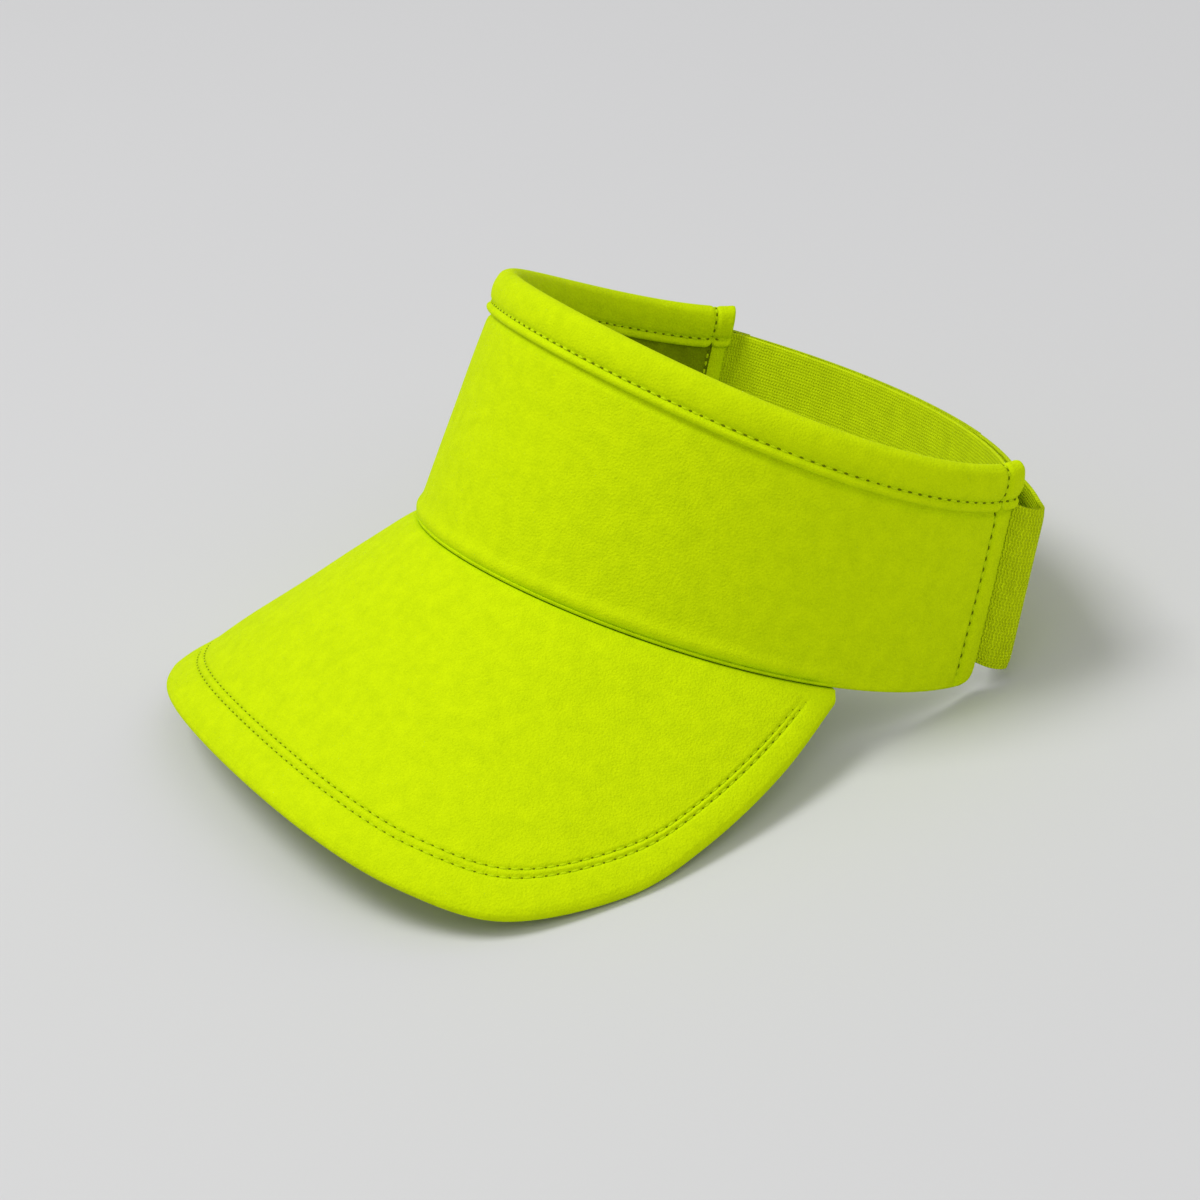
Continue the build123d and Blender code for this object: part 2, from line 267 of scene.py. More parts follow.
def elastic_finish(name, light, deep, cord_share, weft_share):
    """Ribbed elastic; the shares say how strongly the cords and the weft show."""
    finish = Finish(name)
    place = finish.add("ShaderNodeUVMap", {"uv_map": "cloth"}, {}, "UV")
    object_place = finish.add("ShaderNodeTexCoord", {}, {}, "Object")
    warp = finish.noise(object_place, 420.0, 2.0)
    fibres = finish.noise(object_place, 2600.0, 2.0, 0.7)
    mottle = finish.noise(object_place, 210.0, 3.0, 0.6)
    apart = finish.add("ShaderNodeSeparateXYZ", {}, {0: place}, "X")
    across = Wire(finish, apart.socket.node.outputs["Y"])
    turn = 2 * math.pi
    cords = (across * (turn / 0.00085) + (warp - 0.5) * 5.0).wave()
    shift = (across * (turn / 0.0021)).wave() * 1.1
    weft = (apart * (turn / 0.00085) + shift + (warp - 0.5) * 7.0).wave()
    height = cords * cord_share + weft * weft_share + fibres * 0.5
    # The colour is lighter on the tops of the cords and weft rows and deeper between them, in
    # step with the bump: painted shade of the weave's relief, under a random mottle.
    share = 0.45 - cords * (0.30 * cord_share) - weft * (0.36 * weft_share) + (mottle - 0.5) * 0.8
    share = finish.add("ShaderNodeValToRGB", {"stops": ((0.0, 0.0), (1.0, 1.0))}, {0: share})
    finish.set(
        Base_Color=finish.mix(share, light, deep),
        Roughness=0.72 + fibres * 0.15,
        Sheen_Weight=0.08,
        Sheen_Roughness=0.4,
        Sheen_Tint=light,
        Specular_IOR_Level=0.10,
    )
    finish.bump(height, 0.00016)
    return finish.material


# Painted light: both elastic colours are set lighter than the shell's cloth, to make up for the
# shade that the inner ply and the loop lie in.
ELASTIC_PAINTED_LIGHT = (0.72, 0.92, 0.0, 1)
ELASTIC_DEEP_PAINTED_LIGHT = (0.44, 0.58, 0.0, 1)
run_elastic = elastic_finish("elastic lengthwise", ELASTIC_PAINTED_LIGHT, ELASTIC_DEEP_PAINTED_LIGHT, 0.22, 0.40)
loop_elastic = elastic_finish("elastic crosswise", ELASTIC_PAINTED_LIGHT, ELASTIC_DEEP_PAINTED_LIGHT, 0.35, 0.9)

# %% [markdown]
# Sewing thread, dark beads of painted shade for the holes its needle leaves, towelling, hook and
# loop tape, woven tape, foam and the moulded board each get a finish of their own.

# %% Thread, towelling, tapes, foam and board


def grainy_finish(name, light, deep, scale, distance, roughness, cells=False):
    """A finish with one size of grain: round cells for hooks and loops, or plain noise."""
    finish = Finish(name)
    place = finish.add("ShaderNodeTexCoord", {}, {}, "Object")
    grain = finish.noise(place, scale, 3.0, 0.65)
    height = grain
    if cells:
        cell = {"Vector": place, "Scale": scale}
        height = 1.0 - finish.add("ShaderNodeTexVoronoi", {}, cell, "Distance") + grain * 0.4
    finish.set(
        Base_Color=finish.mix(grain, light, deep),
        Roughness=roughness + (grain - 0.5) * 0.2,
        Specular_IOR_Level=0.08,
    )
    finish.bump(height, distance)
    return finish.material


thread = grainy_finish(
    "sewing thread", (0.66, 0.86, 0.0, 1), (0.50, 0.66, 0.0, 1), 3200.0, 0.00008, 0.6
)
# Painted shade: the needle hole is a near black lime, standing in for the shade inside each hole.
needle_hole_shade = grainy_finish(
    "needle hole", (0.20, 0.27, 0.0, 1), (0.12, 0.16, 0.0, 1), 2500.0, 0.00005, 0.9
)
towelling = grainy_finish(
    "towelling", (0.50, 0.68, 0.0, 1), (0.36, 0.50, 0.0, 1), 900.0, 0.0006, 0.9, cells=True
)
hook_tape = grainy_finish(
    "hook tape", (0.46, 0.62, 0.0, 1), (0.34, 0.47, 0.0, 1), 780.0, 0.0005, 0.55, cells=True
)
loop_tape = grainy_finish(
    "loop tape", (0.48, 0.66, 0.0, 1), (0.36, 0.50, 0.0, 1), 1500.0, 0.0005, 0.92, cells=True
)
woven_tape = grainy_finish(
    "woven tape", (0.52, 0.72, 0.0, 1), (0.42, 0.58, 0.0, 1), 1800.0, 0.0002, 0.8, cells=True
)
foam = grainy_finish(
    "laminated foam", (0.52, 0.68, 0.06, 1), (0.42, 0.56, 0.04, 1), 1300.0, 0.0003, 0.9,
    cells=True,
)
# Painted shade: the board is a dark lime, so that where it shows in the crease under the band it
# reads as the shade there.
board = grainy_finish(
    "moulded board", (0.30, 0.38, 0.04, 1), (0.26, 0.33, 0.03, 1), 300.0, 0.00005, 0.5
)
paper = grainy_finish(
    "studio floor", (0.665, 0.665, 0.672, 1), (0.655, 0.655, 0.662, 1), 3.0, 0.0, 0.95
)
floor.data.materials.append(paper)
print("finishes:", len(bpy.data.materials))

# %% [markdown]
# ## The head form
#
# Every cloth piece is cut flat and then laid on one form.  The band's two edges are parts of
# ellipses seen from above, falling from the front centre to the tabs.  Their sizes are given in
# the order of `edge_point`: half width, half depth, set-back, height in front and height at the
# tabs.  `on_band` turns a place on the flat band (how far round, how far up, how far out) into a
# place on the form.  Sizes are in millimetres, as on a maker's pattern, and turned to metres when
# a piece is laid.

# %% Curves of the band
MM = 0.001
tab_sweep = 105.5
front_y = -39.332
low_tab_height = 3.13
low_sizes = (73.2, 81.0, 0, 55.0, low_tab_height)
top_sizes = (73.5, 68.5, 38.6, 110.8, 55.93)


def edge_point(t, half_width, half_depth, set_back, front_height, tab_height):
    """A point of a band edge; t runs from -1 at the right tab to 1 at the left tab."""
    angle = math.radians(tab_sweep * t)
    depth = half_depth * (1 - math.cos(angle))
    full_depth = half_depth * (1 - math.cos(math.radians(tab_sweep)))
    fall = max(0.0, 1 - depth / full_depth) ** 1.3
    height = tab_height + (front_height - tab_height) * fall
    return Vector((half_width * math.sin(angle), front_y + set_back + depth, height))


@lru_cache(maxsize=None)
def band_frame(t):
    """Lower edge, direction round, up and out, and the band's height, at t."""
    low = edge_point(t, *low_sizes)
    top = edge_point(t, *top_sizes)
    up = (top - low).normalized()
    step = 0.01
    ahead = edge_point(t + step, *low_sizes) + edge_point(t + step, *top_sizes)
    behind = edge_point(t - step, *low_sizes) + edge_point(t - step, *top_sizes)
    along = ahead - behind
    along = (along - up * along.dot(up)).normalized()
    return low, along, up, along.cross(up), (top - low).length


def on_band(t, up, out):
    """A place on the band's form, in mm; out is measured from the padding's inner face."""
    low, _, up_way, out_way, _ = band_frame(t)
    return low + up_way * up + out_way * out


def band_height(t):
    return band_frame(t)[4]


mm_per_t = (on_band(1, 28, 0) - on_band(0.99, 28, 0)).length / 0.01
print("front band height", round(band_height(0), 1), "mm; near a tab 1 mm of band is t",
      round(1 / mm_per_t, 5))

# %% [markdown]
# `lay_cloth` makes nearly every piece.  A flat grid is laid on its form point by point.  Its
# normals are worked out anew, because Solidify pushes the second skin along them.  Solidify gives
# it its thickness, and its cut edges are rounded with a small bevel, because cloth never ends in
# a sharp corner.  Its UV map is scaled to metres so that a weave keeps its real size.

# %% Lay a piece of cloth
made = []


def finish_piece(form, name, material):
    """The mesh as an object at the origin, with its finish."""
    mesh = bpy.data.meshes.new(name)
    form.to_mesh(mesh)
    form.free()
    mesh.shade_smooth()
    mesh.materials.append(material)
    piece = bpy.data.objects.new(name, mesh)
    scene.collection.objects.link(piece)
    made.append(piece)
    return piece


def lay_cloth(name, place, along, across, thickness, material, size=(0.25, 0.06), rim=0.45):
    """A grid of cloth laid by place(u, v) in mm, skin outwards, thickened inwards."""
    cloth = bmesh.new()
    uv = cloth.loops.layers.uv.new("cloth")
    bmesh.ops.create_grid(cloth, x_segments=along, y_segments=across, size=0.5, calc_uvs=True)
    for vert in cloth.verts:
        vert.co = place(vert.co.x + 0.5, vert.co.y + 0.5) * MM
    for face in cloth.faces:
        for loop in face.loops:
            loop[uv].uv.x *= size[0]
            loop[uv].uv.y *= size[1]
    cloth.normal_update()
    skin_area = sum(face.calc_area() for face in cloth.faces)
    bmesh.ops.solidify(cloth, geom=cloth.faces[:], thickness=thickness * MM)
    rims = [edge for edge in cloth.edges if edge.calc_face_angle(0) > math.radians(65)]
    bmesh.ops.bevel(
        cloth, geom=rims, offset=thickness * rim * MM, offset_type="OFFSET", segments=3,
        profile=0.5, affect="EDGES", material=-1, clamp_overlap=True,
    )
    bmesh.ops.recalc_face_normals(cloth, faces=cloth.faces[:])
    piece = finish_piece(cloth, name, material)
    piece["skin_area"] = skin_area
    print(f"{name}: {len(piece.data.polygons)} faces, skin {skin_area * 1e4:.0f} cm2")
    return piece


def dip(distance, width):
    """1 at a seam, falling softly to 0 a few widths away."""
    return math.exp(-((distance / width) ** 2))


def steps(share, *stops):
    """A value that runs straight from one (share, value) stop to the next."""
    for (from_share, from_value), (to_share, to_value) in zip(stops, stops[1:]):
        if share <= to_share:
            part = (share - from_share) / (to_share - from_share)
            return from_value + (to_value - from_value) * max(0.0, part)
    return stops[-1][1]


def through(points, share):
    """A smooth line through points of any kind, a Catmull-Rom spline; share runs from 0 to 1."""
    spans = len(points) - 1
    span = min(int(share * spans), spans - 1)
    s = share * spans - span
    before = points[span - 1] if span else points[0] * 2 - points[1]
    after = points[span + 2] if span + 2 <= spans else points[-1] * 2 - points[-2]
    first, second = points[span], points[span + 1]
    return (
        first * 2 + (second - before) * s
        + (before * 2 - first * 5 + second * 4 - after) * s**2
        + (first * 3 - before - second * 3 + after) * s**3
    ) / 2


class Line:
    """A line of close points that can be asked for a place at a share of its length."""

    def __init__(self, points):
        self.points = points
        self.lengths = [0.0]
        for first, second in zip(points, points[1:]):
            self.lengths.append(self.lengths[-1] + (second - first).length)
        self.length = self.lengths[-1]

    def at(self, share):
        target = min(max(share, 0.0), 1.0) * self.length
        low, high = 0, len(self.points) - 1
        while high - low > 1:
            middle = (low + high) // 2
            if self.lengths[middle] <= target:
                low = middle
            else:
                high = middle
        part = (target - self.lengths[low]) / (self.lengths[high] - self.lengths[low])
        return self.points[low].lerp(self.points[high], part)

    def way(self, share):
        """The line's direction at a share of its length."""
        step = 0.3 / self.length
        return (self.at(share + step) - self.at(share - step)).normalized()


# %% [markdown]
# ## The brim's form
#
# The brim's middle surface is ruled: a straight line runs from the band's lower edge to the
# outline.  The outline is one smooth line through eight places and their mirror images.  This
# form comes before the band's cloth, because the band is creased where the brim leaves it.

# %% Form of the brim
brim_join = 0.77
brim_end = 0.965
brim_half = 1.75
brim_half_width = 98
brim_low, brim_nose_rise = 0.72, 18.3
brim_straight, brim_round = 12, 58
corner_power = 2 / 2.65


def outline_places():
    """The outline's places from the tip round to the left end."""
    places = []
    for angle in (0, 20, 42, 66):
        across = math.sin(math.radians(angle)) ** corner_power
        along = math.cos(math.radians(angle)) ** corner_power
        rise = brim_low + (brim_nose_rise - brim_low) * (1 - across**3)
        y = front_y - brim_straight - brim_round * along
        places.append(Vector((brim_half_width * across, y, rise)))
    end = on_band(brim_join, 0, 0)
    for share in (0, 0.3, 0.65, 1):
        x = end.x + (brim_half_width - end.x) * (1 - share**1.9)
        y = front_y - brim_straight + (end.y - front_y + brim_straight) * share
        places.append(Vector((x, y, brim_low + (end.z - brim_low) * share**1.55)))
    return places


left_places = outline_places()
all_places = [Vector((-p.x, p.y, p.z)) for p in reversed(left_places[1:])] + left_places
outline = Line([through(all_places, step / 1400) for step in range(1401)])
print("brim outline", round(outline.length), "mm long")


@lru_cache(maxsize=None)
def brim_frame(s):
    """Root, directions round, out and up, length, and slope of the root face, at s."""

    def ends(place):
        low, _, _, out_way, _ = band_frame(place * brim_join)
        return low + out_way * 1.1, outline.at((place + 1) / 2)

    root, tip = ends(s)
    step = 0.005
    along = sum(ends(s + step), Vector()) - sum(ends(s - step), Vector())
    out = (tip - root).normalized()
    along = (along - out * along.dot(out)).normalized()
    up = out.cross(along)
    band_up = band_frame(s * brim_join)[2]
    return root, along, out, up, (tip - root).length, band_up.dot(up) / band_up.dot(out)


def on_brim(s, reach, up):
    """A place on the brim's form: reach in mm out from the root, up from its middle."""
    root, _, out_way, up_way, _, _ = brim_frame(s)
    return root + out_way * reach + up_way * up


def brim_root(s, up):
    """The reach at which a layer of the brim starts, a hair's breadth in front of the band."""
    return 0.1 - brim_frame(s)[5] * up


def crease_up(t):
    """How far up the band its skin meets the brim's top."""
    _, _, out_way, up_way, _, _ = brim_frame(t / brim_join)
    _, _, band_up, band_out, _ = band_frame(t)
    reach = (1.85 - brim_half * up_way.dot(band_out)) / out_way.dot(band_out)
    return reach * out_way.dot(band_up) + brim_half * up_way.dot(band_up)


print("crease above the hem, mm:", [round(crease_up(t), 1) for t in (0, 0.4, 0.74)])


# %% [markdown]
# ## Head band
#
# The shell is one cut of cloth: it starts at the seam inside, rolls under the foam and runs up
# the outside to the binding.  It is drawn in along the upright seam near each tab and swells a
# little between the seams, as padded cloth does.  A voxel remesh for a cloth simulation would
# need cells thicker than this 4 mm band, so the swell is pressed in instead.

# %% Shell of the band
seam_inset = 5.0
roll = 1.0
corner_radius = 3.5


def fine_at_tabs(share):
    """t from -1 to 1, in finer steps near the tabs, where seams and corners are small."""
    wide = 2 * share - 1
    return wide * (1.35 - 0.35 * wide * wide)


def corner_lift(edge):
    """How far the rounded bottom corner lifts the hem, at a distance from the tab's edge."""
    short = max(corner_radius - max(edge, 0.0), 0.0)
    return corner_radius - math.sqrt(corner_radius**2 - short**2)


def drape(t, up, size=0.22):
    """Slow unevenness of soft cloth."""
    return size * noise.noise(Vector((t * 5.0, up * 0.045, 3.7)))


def shell_skin(t, up):
    """How far out the shell's skin is, in mm."""
    edge = (1 - abs(t)) * mm_per_t
    height = band_height(t)
    share = min(max(up / height, 0.0), 1.0)
    swell = 0.40 * math.sin(math.pi * share) ** 0.7 + drape(t, up) * math.sin(math.pi * share)
    if edge < seam_inset:
        swell = 0.40 * math.sin(math.pi * max(edge, 0) / seam_inset)
    drawn_in = 0.70 * dip(edge - seam_inset, 0.8) + 0.65 * dip(up - height + 10.9, 0.9)
    strength = steps(abs(t), (0.70, 1.0), (brim_join, 0.0))
    if strength:
        above = up - crease_up(t)
        crease = 1.1 * dip(above - 0.3, 0.75) - 0.75 * dip(above - 2.9, 1.8)
        drawn_in += strength * crease
    return 2.95 + swell * (1 - dip(up - height, 9)) - drawn_in


def lay_shell(u, v):
    t = fine_at_tabs(u)
    height = band_height(t)
    if v < 0.16:
        angle = math.pi * v / 0.16
        up, out = roll - roll * math.sin(angle), 1.45 - 1.5 * math.cos(angle)
    else:
        up = roll + (height - roll - 0.4) * ((v - 0.16) / 0.84) ** 1.2
        out = shell_skin(t, up)
    lift = corner_lift((1 - abs(t)) * mm_per_t)
    return on_band(t, up + lift * (1 - up / height), out)


band = lay_cloth("band", lay_shell, 400, 110, 0.85, shell_cloth, (0.262, 0.070))

# %% [markdown]
# Under the shell lies thin laminated foam, which stops short of the tabs so that the elastic
# fits between the layers there.

# %% Foam
pocket_t = 1 - 11 / mm_per_t


def lay_foam(u, v):
    t = (2 * u - 1) * pocket_t
    return on_band(t, 1.9 + (band_height(t) - 2.6) * v, 1.92)


band_foam = lay_cloth("band_foam", lay_foam, 150, 24, 1.8, foam, (0.24, 0.066))

# %% [markdown]
# The lining faces the head, so its skin is laid the other way round.  Near the right tab it is a
# little too long for the curve and stands in soft upright folds.

# %% Lining


def lay_lining(u, v):
    t = pocket_t + (-1 - pocket_t) * u
    edge = (1 + t) * mm_per_t
    height = band_height(t)
    up = 1.3 + (height - 2.0) * v
    folds = 1.9 * max(0.0, math.sin(edge * 0.72 + 0.35 * math.sin(up * 0.12))) ** 1.5
    folds *= dip(edge - 17, 11) * math.sin(math.pi * min(1.0, up / (height - 6)))
    inward = folds - 0.45 * dip(edge - seam_inset, 0.8) + abs(drape(t, up, 0.3))
    lift = corner_lift(edge)
    return on_band(t, up + lift * (1 - up / height), -0.72 - max(inward, -0.30))


lining = lay_cloth("lining", lay_lining, 300, 50, 0.62, lining_cloth_painted_shade, (0.25, 0.066))

# %% [markdown]
# Behind the right tab's upright seam the shell's cloth is turned in, as a plump narrow facing.

# %% Facing of the right tab


def lay_facing(u, v):
    edge = 4.5 - 4.45 * u
    t = -1 + edge / mm_per_t
    height = band_height(t)
    up = 1.3 + (height - 2.0) * v
    swell = 0.75 * math.sin(math.pi * (0.08 + 0.80 * u)) ** 0.7 + abs(drape(t, up, 0.2))
    lift = corner_lift(edge)
    return on_band(t, up + lift * (1 - up / height), -0.85 - swell)


facing = lay_cloth("tab_facing", lay_facing, 24, 90, 0.6, shell_cloth, (0.0045, 0.055), 0.4)

# %% [markdown]
# A towelling sweatband is sewn low inside the front, where it takes up sweat.

# %% Sweatband


def lay_sweatband(u, v):
    t = 0.62 - 1.24 * u
    up = 3 + 30 * v
    swell = 0.3 * math.sin(math.pi * v) ** 0.5 + 0.08 * math.sin(up * 2.1)
    return on_band(t, up, -1.95 - swell)


sweatband = lay_cloth("towel_band", lay_sweatband, 190, 40, 1.1, towelling, (0.15, 0.03), 0.4)

# %% [markdown]
# ## Top binding
#
# A strip of the same cloth is folded over the upper edge and sewn through with one row.  Its
# section is a smooth line through a few places: outer hem, seam, crown, seam, inner hem.  The
# seam draws the fold in, so a plump roll stands above it and a narrow lip below it, and each
# stitch puckers the lip.  Where the upright seam of a tab crosses the binding, it is pinched.

# %% Binding
pitch = 2.8
binding_over = 1.0 / mm_per_t
binding_section = [
    Vector(place)
    for place in (
        (-10.1, 3.10), (-9.9, 3.95), (-8.9, 4.35), (-7.6, 3.50), (-6.2, 4.30), (-4.2, 4.70),
        (-1.8, 4.50), (0.5, 3.60), (1.7, 1.30), (0.6, -1.20), (-1.8, -2.25), (-4.2, -2.40),
        (-6.2, -2.10), (-7.4, -1.40), (-8.6, -2.05), (-9.5, -1.95), (-9.9, -1.25),
    )
]
binding_line = Line([through(binding_section, share / 400) for share in range(401)])
seam_places = [step / 300 - 1 for step in range(601)]
seam_walk = Line([on_band(t, band_height(t) - 7.5, 4) for t in seam_places])


def sewn_length(t):
    """Length of the binding's seam from the right tab to t, in mm."""
    place = min(max((t + 1) * 300, 0.0), 600.0)
    low = min(int(place), 599)
    lengths = seam_walk.lengths
    return lengths[low] + (lengths[low + 1] - lengths[low]) * (place - low)


def on_binding(t, v):
    """A place on the binding's skin: t round the band, v from the outer to the inner hem."""
    edge = (1 + binding_over - abs(t)) * mm_per_t
    up, out = binding_line.at(v)
    depth = out - 1.1
    pucker = 0.16 * math.cos(2 * math.pi * sewn_length(t) / pitch) * dip(up + 8.4, 1.8)
    out += math.copysign(pucker, depth) + 0.25 * drape(t, up)
    shrink = 1 - 0.20 * dip(edge - 6, 0.9)
    if edge < 1.2:
        shrink -= 0.14 * (1 - max(edge, 0) / 1.2) ** 2
    up, out = -4 + (up + 4) * (0.5 + 0.5 * shrink), 1.1 + (out - 1.1) * shrink
    if out < 0 and t > 0:
        up *= steps(edge, (9, 0.48), (14, 1.0))
    return on_band(t, band_height(t) + up, out)


def lay_binding(u, v):
    return on_binding(fine_at_tabs(u) * (1 + binding_over), v)


binding = lay_cloth("binding", lay_binding, 520, 84, 0.75, binding_cloth, (0.262, 0.025))

# %% [markdown]
# ## Brim
#
# The top cloth is drawn tight over a thin board, round its edge and a little way under.  Two
# rows of stitches hold it 11 and 13.4 mm in from the edge; the cloth dips at each row and swells
# beside it.

# %% Cloth over the brim
rows_in = (11.0, 13.4)


def brim_swell(inset, s):
    """How much the cloth stands up or dips, at an inset from the brim's edge."""
    swell = 0.0
    if inset < rows_in[0]:
        swell += 0.42 * math.sin(math.pi * inset / rows_in[0])
    for row in rows_in:
        swell -= 0.42 * dip(inset - row, 0.62)
    swell += 0.10 * dip(inset - sum(rows_in) / 2, 0.6)
    if inset > rows_in[1]:
        swell += 0.25 * (1 - dip(inset - rows_in[1], 6)) + 0.3 * noise.noise(
            Vector((s * 3.1, inset * 0.05, 8.2))
        )
    return swell


def lay_brim_top(u, v):
    s = (2 * u - 1) * brim_end
    length = brim_frame(s)[4]
    nose = length - brim_half
    if v < 0.03:
        return on_brim(s, nose - 1.1 * (1 - v / 0.03), -brim_half)
    if v < 0.17:
        angle = math.pi * ((v - 0.03) / 0.14 - 0.5)
        return on_brim(s, nose + brim_half * math.cos(angle), brim_half * math.sin(angle))
    root = brim_root(s, brim_half)
    if v > 0.97:
        tuck = -2.4 * (v - 0.97) / 0.03
        return on_brim(s, root, brim_half - 0.2) + band_frame(s * brim_join)[3] * tuck
    seams_end = min(15.5, 0.6 * (nose - root))
    seams_start = min(8.0, 0.3 * (nose - root))
    back_in = steps(v, (0.17, 0.0), (0.27, seams_start), (0.62, seams_end), (0.97, nose - root))
    from_root = nose - root - back_in
    raised = brim_swell(back_in + brim_half, s) * (1 - dip(from_root, 5))
    raised -= 0.2 * dip(from_root, 2)
    return on_brim(s, nose - back_in, brim_half + raised)


brim_top = lay_cloth("brim_top", lay_brim_top, 300, 110, 0.85, shell_cloth, (0.33, 0.09))


def lay_brim_under(u, v):
    s = (2 * u - 1) * brim_end
    root = brim_root(s, -brim_half)
    reach = root + (brim_frame(s)[4] - brim_half - 1.7 - root) * v
    inset = brim_frame(s)[4] - reach
    return on_brim(s, reach, -brim_half - 0.5 * min(0.0, brim_swell(inset, s)))


brim_under = lay_cloth("brim_under", lay_brim_under, 260, 90, 0.85, shell_cloth, (0.31, 0.08))


def lay_seam_tape(u, v):
    s = (2 * u - 1) * 0.88
    reach = brim_root(s, -brim_half) + 1.5 + 7 * v
    return on_brim(s, reach, -brim_half - 0.62 - 0.12 * math.sin(math.pi * v))


seam_tape = lay_cloth("brim_seam_tape", lay_seam_tape, 170, 12, 0.48, woven_tape, (0.15, 0.007))

# %% [markdown]
# ## Rear strap
#
# The strap lies in a plane that leans with the tabs.  Its line is drawn in that plane: short
# stretches inside the tabs, Bezier curves that leave them, and arcs round the back that share
# one centre, so that the outer ply can slide over the inner one.

# %% Lines of the strap
lean_run, lean_rise = 22.7595, 52.8
lean = math.hypot(lean_run, lean_rise)
strap_place = 0.525
strap_origin = Vector(
    (0, front_y + 102.646 + strap_place * lean_run, low_tab_height + strap_place * lean_rise)
)
strap_up = Vector((0, lean_run, lean_rise)) / lean
strap_back = Vector((0, lean_rise, -lean_run)) / lean
strap_radius = 122.075
inner_radius = 119.575
loop_patch_radius = 120.425
hook_patch_radius = 121.225
arc_center = 27.5 - strap_radius
outer_start, joint_x, tail_end = 56.99, 20.0, -78.3
fold_start, fold_gap = -70.0, 1.18


def on_strap(place, height):
    """A place in the strap's plane (across, back), raised by a height along its width."""
    return strap_origin + Vector((place[0], 0, 0)) + strap_back * place[1] + strap_up * height


def tab_spot(back, out, side=1):
    """A place at a tab in the strap's plane: back from its edge, out from the foam's face."""
    t = 1 + back / mm_per_t
    spot = on_band(t, band_height(t) * strap_place, out) - strap_origin
    return Vector((side * spot.x, spot.dot(strap_back)))


def tab_run(start, end, out, side=1):
    count = max(2, round(abs(end - start) / 0.4))
    return [tab_spot(start + (end - start) * n / count, out, side) for n in range(count + 1)]


def arc_run(start_x, end_x, radius):
    count = round(abs(end_x - start_x) / 0.8)
    places = [start_x + (end_x - start_x) * n / count for n in range(count + 1)]
    return [Vector((x, arc_center + math.sqrt(radius**2 - x**2))) for x in places]


def bend(before, after, reach=0.36):
    """A Bezier curve that leads smoothly from one run of places into the next."""
    start, end = before[-1], after[0]
    arm = (end - start).length * reach
    leave = (before[-1] - before[-2]).normalized() * arm
    arrive = (after[1] - after[0]).normalized() * arm
    knots = [start, start + leave, end - arrive, end]
    flat = [
        knots[0] * (1 - s) ** 3 + knots[1] * 3 * s * (1 - s) ** 2
        + knots[2] * 3 * s**2 * (1 - s) + knots[3] * s**3
        for s in [n / 40 for n in range(1, 40)]
    ]
    return flat


def turn_run(back, middle, radius, start, end, count=24):
    """A tight turn inside a tab, about a middle place; angles in degrees."""
    return [
        tab_spot(back - radius * math.sin(angle), middle - radius * math.cos(angle))
        for angle in [math.radians(start + (end - start) * n / count) for n in range(count + 1)]
    ]


sewn_end = tab_run(-8, 0, 1.025, -1)
inner_arc = arc_run(-59.99, 59.99, inner_radius)
into_tab = tab_run(-2, -6, -1.2)
inner_line = Line(
    sewn_end + bend(sewn_end, inner_arc) + inner_arc + bend(inner_arc, into_tab) + into_tab
)

turn = turn_run(-6.05, 0.05, 1.25, 0, 180)
out_of_tab = tab_run(-5.6, 0.6, 1.3)
swell_places = [out_of_tab[-1]] + [
    tab_spot(back_, out) for back_, out in ((4.2, 4.9), (8.5, 7.0), (12.0, 2.9))
]
outer_arc = arc_run(outer_start, joint_x, strap_radius)
swell = [
    through([*swell_places, outer_arc[0], outer_arc[12]], share / 150) for share in range(1, 120)
]
front_line = Line(turn + out_of_tab + swell + outer_arc)

tail_arc = arc_run(joint_x, tail_end, strap_radius)
fold_back = arc_run(tail_end, fold_start, strap_radius + fold_gap)
tip_middle = (tail_arc[-1] + fold_back[0]) / 2
tip_way = (tail_arc[-1] - tail_arc[-2]).normalized()
tip_out = (fold_back[0] - tail_arc[-1]) / 2
tip = [
    tip_middle - tip_out * math.cos(angle) + tip_way * fold_gap / 2 * math.sin(angle)
    for angle in [math.pi * n / 12 for n in range(1, 12)]
]
rear_line = Line(tail_arc + tip + fold_back)
strap_lines = {"inner ply": inner_line, "loop and front": front_line, "rear and tail": rear_line}
for name, line in strap_lines.items():
    print("strap,", name, round(line.length), "mm")

# %% [markdown]
# A ribbon is a grid laid along its line and across its width.  Elastic is never quite flat, so
# its edges wander by a tenth of a millimetre, and where it loops out of the left tab it hangs
# 4 mm lower, so that the loop's dark opening shows from above.

# %% Strap, patches and keeper


def lay_ribbon(line, width, thickness, wander=0.12, curl=0.0, sag=0.0):
    """A place(u, v) for lay_cloth that follows a line.

    curl turns the long edges inwards, and sag lets the ribbon hang lower near the line's start.
    """

    def place(u, v):
        spot = line.at(u)
        way = line.way(u)
        height = (v - 0.5) * width
        lift = thickness / 2 + wander * noise.noise(
            Vector((u * line.length * 0.06, height * 0.09, 1.3))
        )
        lift -= curl * dip(width / 2 - abs(height), 1.7)
        height -= sag * dip(u - 0.22, 0.15)
        return on_strap(spot, height) + strap_spread(way) * lift

    return place


def strap_spread(way):
    """The direction that a ribbon's skin faces, for a direction in the strap's plane."""
    along = Vector((way[0], 0, 0)) + strap_back * way[1]
    return along.cross(strap_up)


